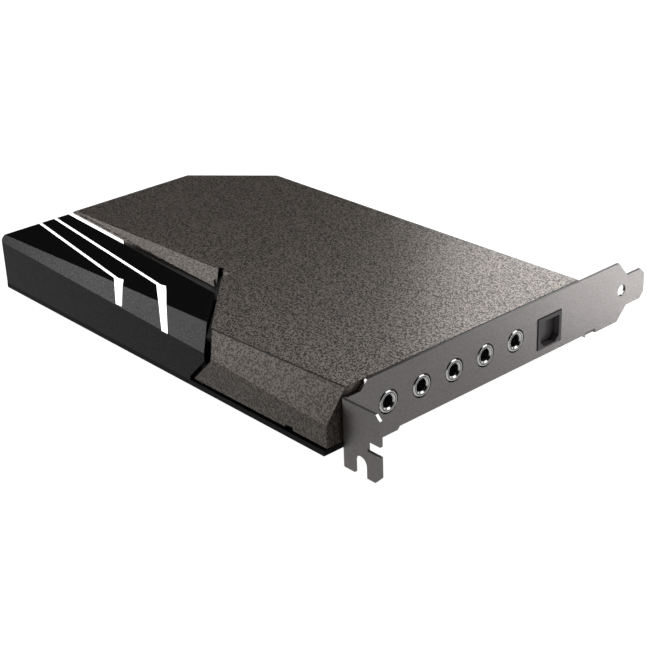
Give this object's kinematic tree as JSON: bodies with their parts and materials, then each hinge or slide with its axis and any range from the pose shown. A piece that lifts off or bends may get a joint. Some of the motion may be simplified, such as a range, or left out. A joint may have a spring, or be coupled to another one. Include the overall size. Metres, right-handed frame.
{
  "type": "pci sound card",
  "caption": "Computer expansion sound card: board under a gunmetal cover with a glossy black corner cap and white light stripes, slot bracket with audio jacks and an optical port.",
  "frame": {"origin": "middle of the footprint at the height of the bracket's two prongs, the lowest points", "axes": "+X out of the computer through the bracket, +Y along the bracket from the screw tab to the tongue, +Z from the solder side to the cover"},
  "size_m": [0.1678, 0.1244, 0.0212],
  "materials": {
    "bracket_steel": "satin nickel-plated steel",
    "board_black": "black solder mask on glass-fibre board",
    "gold_plate": "thin gold plating",
    "cover_gunmetal": "coarse speckled gunmetal",
    "cap_black": "glossy black",
    "light_white": "milky white light guide",
    "led_body": "pale",
    "contact_metal": "plated spring bronze",
    "port_black": "matt black",
    "emitter_red": "clear red resin",
    "chip_black": "matt mould compound",
    "can_steel": "bright can",
    "relay_black": "matt black",
    "capacitor_gold": "sleeved can",
    "film_red": "red box",
    "inductor_grey": "ferrite",
    "ceramic_tan": "ceramic",
    "header_black": "matt black",
    "jack_black": "matt black",
    "bushing_bright": "bright nickel",
    "screw_black": "black zinc",
    "screw_steel": "bright zinc"
  },
  "bodies": {
    "card": {"bracket": "bracket_steel", "circuit_board": "board_black", "edge_contacts": "gold_plate", "cover": "cover_gunmetal", "corner_cap": "cap_black", "light_guide": "light_white", "edge_light_bar": "light_white", "leds": "led_body", "jack_1_housing": "jack_black", "jack_2_housing": "jack_black", "jack_3_housing": "jack_black", "jack_4_housing": "jack_black", "jack_5_housing": "jack_black", "jack_1_bushing": "bushing_bright", "jack_2_bushing": "bushing_bright", "jack_3_bushing": "bushing_bright", "jack_4_bushing": "bushing_bright", "jack_5_bushing": "bushing_bright", "jack_contacts": "contact_metal", "optical_housing": "port_black", "optical_emitter": "emitter_red", "audio_processor": "chip_black", "dac_chip": "chip_black", "amplifier_chips": "chip_black", "flash_memory": "chip_black", "oscillators": "can_steel", "relays": "relay_black", "filter_capacitors": "capacitor_gold", "film_capacitors": "film_red", "voltage_regulators": "chip_black", "inductors": "inductor_grey", "ceramic_capacitors": "ceramic_tan", "header_base": "header_black", "header_pins": "gold_plate", "cover_screws": "screw_black", "bracket_screws": "screw_steel"},
    "shutter": {"optical_shutter": "port_black"}
  },
  "joints": [
    {"name": "optical_shutter_hinge", "type": "hinge", "parent": "card", "child": "shutter", "pos_m": [0.0684, 0.01994, 0.014], "axis": [0, 1, 0], "range_deg": [0, 84], "stiffness_Nm_per_rad": 0.0005}
  ]
}
